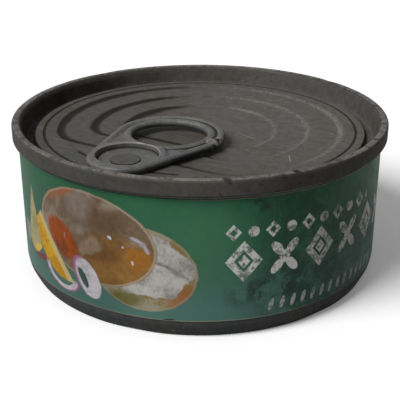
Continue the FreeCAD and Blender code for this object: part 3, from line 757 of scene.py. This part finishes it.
def labelFinish():
    f = Print(bpy.data.materials.new("printedLabel"))
    colour = drawGround(f)
    for draw in (drawBread, drawMeat, drawOrange, drawLemon, drawOnions):
        colour = draw(f, colour)
    # the right part of the design gets stains and painted shade
    stainAndShade = f.step(f.across, 6.0, 26.0) * f.step(f.across, 89.0, 71.0)
    colour = drawStains(f, colour, stainAndShade)

    mask = ornamentMask(f)
    rubbed = f.step(f.speck + (f.patch - 0.5) * 0.9 - 0.05 * stainAndShade, 0.28, 0.55)
    ink = f.mix(ornament["wornInk"], ornament["ink"], rubbed)
    colour = f.mix(colour, ink, mask * (0.55 + 0.45 * rubbed))

    topLine = f.step(abs(f.height - label["topLine"]), 0.16, 0.08) * f.step(f.across, -8.0, 4.0)
    bottomLine = f.step(abs(f.height - label["bottomLine"]), 0.22, 0.10)
    bottomLine = bottomLine * (1.0 - 0.7 * f.step(f.across, 8.0, 30.0))
    colour = f.mix(colour, label["edgeLine"], f.most(topLine, bottomLine) * 0.7)
    colour = f.mix(colour, label["dash"], f.blob(f.flat, at(-8.6, 5.35), (1.5, 0.22), 2.0, 0.4) * 0.9)

    # painted shade: the print is darkened towards both sides of the design
    paintedShade = (0.68 + 0.32 * f.step(f.across, -26.0, -12.0)) * (1.0 - 0.38 * f.step(f.across, 24.0, 36.0))
    paintedShade = paintedShade + 0.06 * f.step(f.across, 70.0, 89.0)
    colour = f.mix(colour, (0.86 + 0.20 * f.speck + 0.08 * f.grain) * paintedShade, 1.0, "MULTIPLY")

    roughness = label["roughness"] + 0.14 * (f.patch - 0.5) + 0.12 * (f.speck - 0.5) - 0.06 * mask
    bump = 0.4 * f.speck + 0.15 * f.grain + 0.5 * f.patch
    gloss = {"Specular IOR Level": label["specular"]}
    return f.surface(colour, roughness, 0.0, bump, label["bumpDepth"], **gloss)


def makeLabel():
    inner, outer = wallHigh.x / mm + 0.03, labelHigh.x / mm
    low, high = labelLow.z / mm, labelHigh.z / mm
    line = [(outer, low), (outer, high), (inner, high), (inner, low), (outer, low)]
    piece = turned("labelSleeve", line, label["segments"], labelFinish(), math.radians(label["start"]))
    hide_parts("label")
    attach(piece, "root")


makeLabel()
print("label made")


# lid: stepped panel, score line, countersink and rolled seam
lid = {
    "rays": 480, "panel": 38.1, "panelRadius": 45.0, "step": 0.38, "stepWidth": 1.3,
    # terraces: radius, straight edge, corner
    "terraces": ((38.4, -29.0, 12.0), (29.5, -19.5, 9.0), (20.7, -14.6, 6.0)),
    "scoreRadius": 42.6, "scoreWidth": 0.6, "scoreDepth": 0.2,
    "scoreLoops": (-0.7, -0.45, -0.3, -0.18, -0.08, 0.0, 0.08, 0.18, 0.3, 0.45, 0.7, 1.1),
    "beadRadius": 37.3, "beadWidth": 1.1, "beadDepth": 0.24, "beadSweep": 26.0,
    "sinkLevel": 36.7, "sinkInner": 45.5, "chuckFoot": 47.4,
    "seamWidth": 2.2, "seamBottom": 38.0, "seamRound": 0.75,
    "underside": ((48.45, 38.1), (47.9, 36.25), (45.0, 36.25), (44.4, 36.6), (0.5, 36.6)),  # radius, level
    "dents": ((46, 41.2, 1.8, 0.12), (20, 41.6, 2.2, 0.12), (-12, 39.4, 3.0, 0.10),
              (75, 39.6, 2.6, 0.14), (160, 41.0, 2.4, 0.14), (-110, 40.6, 2.8, 0.14)),
    # how dark the pressed lines, the channel and its wall are made, much of it painted shade on one side of
    # the can; how bright the rubbed edges are, with painted highlight on the terraces; and each part's
    # tone, which carries painted light and shade
    "paintedShadeAzimuth": -45.0, "terraceShade": 1.1, "scoreDark": 1.05, "panelEdgeDark": 1.1,
    "wallShade": 0.75, "terraceRubAndHighlight": 0.58, "seamRub": 0.71, "hemRub": 0.35, "smearRub": 0.6,
    "smearAzimuth": 17.0, "seamTone": 0.67, "wallTone": 0.75, "sinkTone": 0.84,
}
rivetShape = {
    "place": (0.0, -34.6), "tone": 0.9, "headRadius": 3.8,
    # foot, neck and head: radius, level and rounding
    "profile": ((0.0, 37.9), (3.0, 37.9), (3.0, 38.37, 0.12), (1.9, 38.37), (1.9, 38.88),
                (3.8, 38.88), (3.8, 39.05, 0.05), (3.5, 39.08), (0.0, 39.08)),
}


def terraceDistance(x, y, radius, chord, corner):
    # distance outside a disc cut off by a straight edge, with its corners rounded
    disc = radius - corner
    edge = chord + corner
    reach = math.sqrt(disc ** 2 - edge ** 2)
    away = np.hypot(x, y)
    inside = np.maximum(away - disc, edge - y)
    nearDisc = np.where(y * disc >= edge * away, away - disc, 1e9)
    nearEdge = np.where((np.abs(x) <= reach) & (y < edge), edge - y, 1e9)
    nearCorner = np.hypot(np.abs(x) - reach, y - edge)
    outside = np.minimum(np.minimum(nearDisc, nearEdge), nearCorner)
    return np.where(inside <= 0, inside, outside) - corner


def terraceLoop(angles, shape, offset):
    # how far out each ray meets the terrace's outline, grown by offset
    near = np.full(len(angles), 0.5)
    far = np.full(len(angles), 48.0)
    for _ in range(36):
        middle = (near + far) / 2
        beyond = terraceDistance(middle * np.cos(angles), middle * np.sin(angles), *shape) > offset
        near, far = np.where(beyond, near, middle), np.where(beyond, middle, far)
    return (near + far) / 2


def smoothStep(value):
    value = np.clip(value, 0, 1)
    return value * value * (3 - 2 * value)


def panelHeight(x, y):
    z = np.full(len(x), lid["panel"])
    for shape in lid["terraces"]:
        z -= lid["step"] * smoothStep(0.5 - terraceDistance(x, y, *shape) / lid["stepWidth"])
    away = np.hypot(x, y)
    z -= lid["scoreDepth"] * np.exp(-((away - lid["scoreRadius"]) / lid["scoreWidth"] * 2.6) ** 2)
    bead = np.exp(-((away - lid["beadRadius"]) / lid["beadWidth"] * 2.2) ** 2)
    turn = np.degrees(np.abs(np.arctan2(x, -y)))
    z -= lid["beadDepth"] * bead * smoothStep((lid["beadSweep"] - turn) / 3)
    return z


def lidWear(piece):
    # the pressed lines are darkened, much of it painted shade on one side of the can; on the other side the
    # terrace edges are lightened with rubbed wear and painted highlight
    spots, normals, _ = meshArrays(piece.data)
    x, y, z = (spots / mm).T
    radius = np.hypot(x, y)
    side = around(lid["paintedShadeAzimuth"], 0)
    # 1 on the side whose inward faces get painted shade, 0 on the side that gets painted highlight
    shadedSide = smoothStep(0.5 + 0.62 * (x * side.x + y * side.y) / np.maximum(radius, 1))
    above = z > lid["sinkLevel"] - 0.05
    hollow = np.zeros(len(x))
    edge = np.zeros(len(x))
    # terrace steps: painted shade on the shaded side; rubbed wear and painted highlight on the other
    for shape in lid["terraces"]:
        away = terraceDistance(x, y, *shape)
        hollow += smoothStep(1.2 - np.abs(away + 0.1) / 1.4) * (0.05 + lid["terraceShade"] * shadedSide)
        edge += smoothStep(1.1 - np.abs(away - 0.2) / 2.3) * (1 - shadedSide) * lid["terraceRubAndHighlight"]
    # score line: darkened all round, more on the shaded side as painted shade
    hollow += np.exp(-((radius - lid["scoreRadius"]) / 0.45) ** 2) * (lid["scoreDark"] + 0.2 * shadedSide)
    turn = np.degrees(np.abs(np.arctan2(x, -y)))
    hollow += np.exp(-((radius - lid["beadRadius"]) / 0.6) ** 2) * smoothStep((lid["beadSweep"] - turn) / 3)
    # the channel, its wall and the seam
    chuckTop = lid["panel"] - 0.2
    sink = (radius > lid["panelRadius"] + 0.2) & (radius < lid["chuckFoot"] + 0.3) & (z < chuckTop)
    # painted shade in the channel on the shaded side
    hollow = np.where(sink, shadedSide - 0.3, hollow)
    hollow += np.exp(-((radius - lid["panelRadius"] - 0.1) / 0.24) ** 2) * lid["panelEdgeDark"]
    # painted shade on the channel's wall, stronger lower down and on the shaded side
    wall = (radius > lid["chuckFoot"] - 0.1) & (radius < 48.9) & above
    shaded = shadedSide * lid["wallShade"] * np.clip((canHeight - 0.2 - z) / 1.5, 0, 1)
    hollow = np.where(wall & (z >= chuckTop), shaded, hollow)
    edge = np.where(radius > 43.5, 0, edge)
    seam = radius > 48.8
    edge = np.where(seam, lid["seamRub"] * smoothStep((normals[:, 2] - 0.56) / 0.34), edge)
    edge += lid["hemRub"] * np.exp(-((z - lid["seamBottom"] - 0.2) / 0.3) ** 2) * (radius > 50.2)
    # smears of dirt on the seam
    turn = np.degrees(np.arctan2(x, -y)) - stage["azimuth"]
    smear = (np.sin(turn * 0.9 + z * 1.7) + np.sin(turn * 0.37 - z * 2.3 + 1.0)
             + np.sin(turn * 1.7 + z * 0.9 + 2.0))
    nearby = smoothStep(2 - np.abs(turn - lid["smearAzimuth"]) / 12)
    smear = smoothStep((smear - 0.5) / 1.6) * (0.3 + 0.4 * nearby)
    hollow += np.where(seam, smear, 0)
    edge -= np.where(seam, smear * lid["smearRub"], 0)
    store(piece, hollow=np.clip(hollow, 0, 1.2) * above, edge=np.clip(edge, 0, 1) * above)
    # painted light on the seam: lighter at the front of the view, darker to its right; the panel gets
    # painted shade on the shaded side, and the channel's tone rises a little there
    seamTone = lid["seamTone"] + 0.08 * np.exp(-(turn / 9) ** 2) - 0.17 * smoothStep((turn - 8) / 14)
    tone = np.where(wall, lid["wallTone"], 1.0 - 0.16 * shadedSide)
    tone = np.where(sink, lid["sinkTone"] + 0.1 * shadedSide, tone)
    store(piece, tone=np.where(seam, seamTone, tone))


def panelRings(angles):
    # closer together on the terraces' slopes and at the score line
    half = lid["stepWidth"] / 2 + 0.15
    loops = []
    for shape in reversed(lid["terraces"]):
        first = terraceLoop(angles, shape, -half)
        last = loops[-1] if loops else np.zeros(len(angles))
        for part in (0.25, 0.5, 0.75) if loops else (0.3, 0.6, 0.85):
            loops.append(last + (first - last) * part)
        for offset in np.linspace(-half, half, 11):
            loops.append(terraceLoop(angles, shape, offset))
    last, reach = loops[-1], lid["scoreRadius"] - 1.1
    for part in np.linspace(0, 1, 44)[1:]:
        loops.append(last + (reach - last) * part)
    for offset in lid["scoreLoops"]:
        loops.append(np.full(len(angles), lid["scoreRadius"] + offset))
    rings = []
    for loop in loops:
        x, y = loop * np.cos(angles), loop * np.sin(angles)
        rings.append(np.stack((x, y, panelHeight(x, y)), 1))
    return rings


def rimRings(angles):
    # through the channel, over the seam and back under the panel
    panel, sink = lid["panel"], lid["sinkLevel"]
    bore = wallHigh.x / mm + 0.03
    line = roundedLine([
        (43.9, panel), (lid["panelRadius"], panel, 0.6), (lid["sinkInner"], sink, 0.45),
        (lid["chuckFoot"], sink, 0.5), (seamRadius - lid["seamWidth"], canHeight, 1.0),
        (seamRadius, canHeight, lid["seamRound"]), (seamRadius, lid["seamBottom"], 0.4),
        (bore, lid["seamBottom"]), (bore, panel), *lid["underside"]], 9)
    # the seam's long faces get a few more rings
    dense = []
    for first, last in zip(line, line[1:]):
        outer = min(first.x, last.x) > lid["panelRadius"] + 1
        count = max(1, int((last - first).length / 0.9)) if outer else 1
        dense += [first.lerp(last, step / count) for step in range(count)]
    dense.append(line[-1])
    flat = np.stack((np.cos(angles), np.sin(angles), np.zeros(len(angles))), 1)
    return [flat * radius + (0, 0, level) for radius, level in dense]


def ringMesh(name, rings):
    # each ring joined to the next, with one more point to close either end
    rays, end = len(rings[0]), len(rings) * len(rings[0])
    points = np.concatenate((*rings, rings[0][:1] * (0, 0, 1), rings[-1][:1] * (0, 0, 1)))
    faces = []
    for a in range(rays):
        b = (a + 1) % rays
        faces += [(i + a, i + rays + a, i + rays + b, i + b) for i in range(0, end - rays, rays)]
        faces += [(end, a, b), (end + 1, end - rays + b, end - rays + a)]
    return newMesh(name, points * mm, faces)


def makeLid(finish):
    angles = np.linspace(0, tau, lid["rays"], endpoint=False)
    piece = ringMesh("lidPanel", panelRings(angles) + rimRings(angles))
    coat(piece, finish)
    dent(piece, seamRadius, lid["dents"], 0.2, 0.03)
    lidWear(piece)
    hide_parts("lid")
    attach(piece, "root")


def makeRivet(finish):
    x, y = rivetShape["place"]
    rivet = turned("lidRivet", roundedLine(rivetShape["profile"], 5), 64, finish)
    rivet.data.transform(Matrix.Translation((x * mm, y * mm, 0)))
    spots = meshArrays(rivet.data)[0] / mm
    reach = np.hypot(spots[:, 0] - x, spots[:, 1] - y)
    # painted shadow round the foot of the head
    hollowDark = smoothStep((reach - rivetShape["headRadius"] + 0.2) / 0.15)
    store(rivet, edge=np.zeros(len(spots)), hollow=hollowDark, tone=np.full(len(spots), rivetShape["tone"]))
    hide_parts("lid")
    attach(rivet, "root")


lidFinish = metalFinish("lidSteel", lidSteel, 60.0)
makeLid(lidFinish)
makeRivet(lidFinish)
print("lid made")


# pull tab: worked out as a distance field, then meshed
tab = {
    "cell": 0.2, "smoothing": 3,
    "ring": (-15.0, 14.6), "head": (-35.0, 9.3),  # centre along Y, radius
    "finger": (-15.0, 9.9), "opening": (-33.7, 7.9), "tongue": (-33.15, 7.55),
    "curl": 0.92, "openingRound": 0.4, "tongueGauge": 0.45, "bore": 1.93, "topInset": 0.02,
    "lip": 1.25, "hollowDepth": 0.55, "hollowRun": 1.2,
    "chipTurn": 3.0, "chipDepth": 0.24, "notchDepth": 1.2,  # the turn in degrees round the ring from +X
    "faceLevel": 39.3, "flankLevel": 39.6, "crestLevel": 40.12,  # where the wear and the painted shade change
}


def taperedOutline(x, y):
    # distance outside two circles joined by their tangents
    (ringY, ringRadius), (headY, headRadius) = tab["ring"], tab["head"]
    length = ringY - headY
    lean = (ringRadius - headRadius) / length
    across, along = np.abs(x), ringY - y
    flat = math.sqrt(1 - lean * lean)
    reach = along * flat - across * lean
    ring = np.hypot(across, along) - ringRadius
    head = np.hypot(across, along - length) - headRadius
    tangent = across * flat + along * lean - ringRadius
    return np.where(reach < 0, ring, np.where(reach > length * flat, head, tangent))


def softMost(first, second, reach):
    # the larger of two distances, blended where they are close
    blend = np.clip(reach - np.abs(first - second), 0, None) / reach
    return np.maximum(first, second) + blend * blend * reach / 4


def tabDistances(x, y):
    # outside the outline, inside the finger hole, outside the nose opening, and in from the nearest edge
    outline = taperedOutline(x, y)
    finger = tab["finger"][1] - np.hypot(x, y - tab["finger"][0])
    opening = np.hypot(x, y - tab["opening"][0]) - tab["opening"][1]
    return outline, finger, opening, np.minimum(np.minimum(-outline, -finger), opening)


def chipped(x, y):
    # a torn place at the side of the ring: how rough it is, how far its rim has gone, how deep its notch is
    reach = np.hypot(x, y - tab["ring"][0])
    turn = np.degrees(np.arctan2(y - tab["ring"][0], x)) - tab["chipTurn"]
    ragged = (np.sin(2.9 * x + 1.3 * y) + np.sin(3.7 * y - 1.7 * x + 1.0)
              + 0.7 * np.sin(5.3 * x - 4.1 * y + 2.0) + 0.6 * np.sin(7.1 * y + 3.3 * x)) / 2
    rough = smoothStep((11 + 2.5 * ragged - np.abs(turn)) / 3)
    rough = rough * smoothStep((reach - 10.7 + 0.3 * ragged) / 0.6)
    lost = smoothStep((9 + ragged - np.abs(turn + 2)) / 3) * (0.38 + 0.25 * ragged)
    notch = smoothStep(1.45 - np.hypot((turn - 7.5) * 0.25, (reach - 14.3) * 0.9) + 0.25 * ragged)
    return rough, np.clip(lost, 0, None), notch, ragged


def tabField(x, y, z):
    outline, finger, opening, lip = tabDistances(x, y)
    low, high = tabLow.z / mm, tabHigh.z / mm - tab["topInset"]
    # a hollow runs between the curled edges and widens beside the two openings
    depth = tab["hollowDepth"] * (0.45 + 0.55 * smoothStep((y + 34) / 9))
    top = high - depth * smoothStep((lip - tab["lip"]) / tab["hollowRun"])
    rough, lost, notch, ragged = chipped(x, y)
    top = top + rough * (high - tab["chipDepth"] + 0.1 * ragged - top) - tab["notchDepth"] * notch
    plate = np.maximum(outline + lost, finger)
    curl = tab["curl"]
    side, face = plate + curl, np.maximum(z - top, low - z) + curl
    solid = np.hypot(np.maximum(side, 0), np.maximum(face, 0)) - curl
    solid += np.minimum(np.maximum(side, face), 0)
    tongueTop = low + tab["tongueGauge"]
    well = softMost(opening, tongueTop - z, 0.3)
    solid = softMost(solid, -well, tab["openingRound"])
    slit = np.maximum(opening, tab["tongue"][1] - np.hypot(x, y - tab["tongue"][0]))
    bore = np.hypot(x, y - rivetShape["place"][1]) - tab["bore"]
    return np.maximum(np.maximum(solid, -slit), -bore)


def meshField(field, low, cell):
    # one point in every cell that the surface crosses, one face across every crossed edge
    total = np.zeros(tuple(n - 1 for n in field.shape) + (3,))
    count = np.zeros(total.shape[:3])
    grid = np.stack(np.meshgrid(*(np.arange(n, dtype=float) for n in field.shape), indexing="ij"), -1)
    crossings = []
    for axis in range(3):
        near, far = np.delete(field, -1, axis), np.delete(field, 0, axis)
        crossed = (near < 0) != (far < 0)
        spot = np.delete(grid, -1, axis)
        spot[..., axis] += np.where(crossed, near / np.where(crossed, near - far, 1.0), 0.0)
        others = [other for other in range(3) if other != axis]
        for shifts in product((0, 1), repeat=2):
            window = [slice(None)] * 3
            for other, shift in zip(others, shifts):
                window[other] = slice(shift, field.shape[other] - 1 + shift)
            part = crossed[tuple(window)]
            total += np.where(part[..., None], spot[tuple(window)], 0.0)
            count += part
        crossings.append((crossed, near < 0))
    ids = np.full(count.shape, -1, dtype=np.int64)
    ids[count > 0] = np.arange(int((count > 0).sum()))
    points = total[count > 0] / count[count > 0][:, None] * cell + low
    faces = []
    for axis, (crossed, outward) in enumerate(crossings):
        u, v = (axis + 1) % 3, (axis + 2) % 3
        spots = np.argwhere(crossed)
        spots = spots[(spots[:, u] > 0) & (spots[:, v] > 0)]
        corners = []
        for stepU, stepV in ((-1, -1), (0, -1), (0, 0), (-1, 0)):
            cellSpot = spots.copy()
            cellSpot[:, u] += stepU
            cellSpot[:, v] += stepV
            corners.append(ids[tuple(cellSpot.T)])
        quads = np.stack(corners, 1)
        flip = ~outward[tuple(spots.T)]
        quads[flip] = quads[flip][:, ::-1]
        faces.append(quads)
    return points, np.concatenate(faces)


def tabWear(piece, edge, hollow):
    # worn crests, a darkened groove and notch, the torn place with the streaks under it, and painted shade
    # on the sides and right of the tab
    x, y, z = (meshArrays(piece.data)[0] / mm).T
    rough, _, notch, ragged = chipped(x, y)
    outline, _, opening, lip = tabDistances(x, y)
    turn = np.degrees(np.arctan2(y - tab["ring"][0], x))
    face = smoothStep((z - tab["faceLevel"]) / 0.4)
    flank = (1 - smoothStep((z - tab["flankLevel"]) / 0.6)) * smoothStep((outline + 1.0) / 0.5)
    # the ring's flank on its right and front, which gets painted shade in the tone below
    far = flank * smoothStep((34 - np.abs(turn + 30)) / 16)
    large = smoothStep(1.6 - np.abs(turn + 5) * (0.45 + 0.9 * (40 - z)))
    small = smoothStep(1.2 - np.abs(turn - 8) * 1.1)
    spikes = np.maximum(large, 0.6 * small) * flank
    crest = smoothStep((z - tab["crestLevel"]) / 0.2) * 0.45
    edge = np.maximum(np.maximum(edge, crest), np.maximum(rough * face * (0.66 + 0.22 * ragged), spikes))
    groove = face * smoothStep((lip - 1.75) / 0.45) * smoothStep((3.4 - lip) / 0.8) * (1 - rough)
    groove = groove * smoothStep((x + 12) / 9) * smoothStep((y + 28) / 6)
    hollow = hollow + 0.7 * groove + 1.2 * notch * face
    store(piece, edge=np.where(spikes > 0.3, spikes, edge * (1 - notch)), hollow=np.clip(hollow, 0, 1.2))
    # painted shade: the tab's sides darker than its top, its top darker to the right, and the ring's near
    # flank darker still; the opening is kept lighter
    tone = np.where(opening < 0.4, 0.92, 0.74 + 0.26 * face)
    tone = tone - 0.1 * smoothStep((x + 2) / 12) * (z > tab["faceLevel"])
    store(piece, tone=tone * (1 - 0.5 * far * (1 - spikes)))


def makeTab():
    cell = tab["cell"]
    low = np.array(tabLow) / mm - 3 * cell
    high = np.array(tabHigh) / mm + 3 * cell
    axes = [low[i] + cell * np.arange(int((high[i] - low[i]) / cell) + 1) for i in range(3)]
    field = tabField(*np.meshgrid(*axes, indexing="ij"))
    points, faces = meshField(field, low, cell)
    piece = newMesh("pullTab", points * mm, faces.tolist())
    smooth = piece.modifiers.new("smooth", "SMOOTH")
    smooth.factor = 0.5
    smooth.iterations = tab["smoothing"]
    bake(piece)
    coat(piece, metalFinish("tabSteel", tabSteel, 130.0))
    tabWear(piece, *markWear(piece, 0.4))
    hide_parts("pull_tab")
    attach(piece, "root")


makeTab()
print("tab made")


# floor and surroundings
def seenDirectly(f):
    # 1 for what the camera sees, straight or in a reflection
    path = f.node("ShaderNodeLightPath").socket.node.outputs
    seen = Wire(f, path["Is Camera Ray"])
    for name in ("Is Glossy Ray", "Is Transmission Ray"):
        seen = f.maths("MAXIMUM", seen, Wire(f, path[name]))
    return seen


def makeFloor():
    side = stage["floorRadius"]
    corners = [(-side, -side, 0), (side, -side, 0), (side, side, 0), (-side, side, 0)]
    floor = newMesh("floor", corners, [(0, 1, 2, 3)])
    material = bpy.data.materials.new("paleFloor")
    f = Finish(material)
    seen = seenDirectly(f)
    grey, white = [(*[stage[name]] * 3, 1.0) for name in ("floorBounce", "floorWhite")]
    f.surface(f.mix(grey, white, seen), 0.9, 0.0, 0.0, 0.0, **{
        "Specular IOR Level": 0.0, "Emission Color": seen, "Emission Strength": stage["floorGlow"]})
    floor.data.materials.append(material)

    world = bpy.data.worlds.new("studio")
    scene.world = world
    f = Finish(world)
    bright = f.node("ShaderNodeBackground", None, {"Color": (1.0, 1.0, 1.0, 1.0), "Strength": 1.0})
    plain = f.node("ShaderNodeBackground", None, {"Color": (1.0, 1.0, 1.0, 1.0), "Strength": stage["fill"]})
    both = f.node("ShaderNodeMixShader", None, {0: seenDirectly(f), 1: plain, 2: bright})
    f.node("ShaderNodeOutputWorld", None, {"Surface": both})


makeFloor()
print("floor and surroundings made")
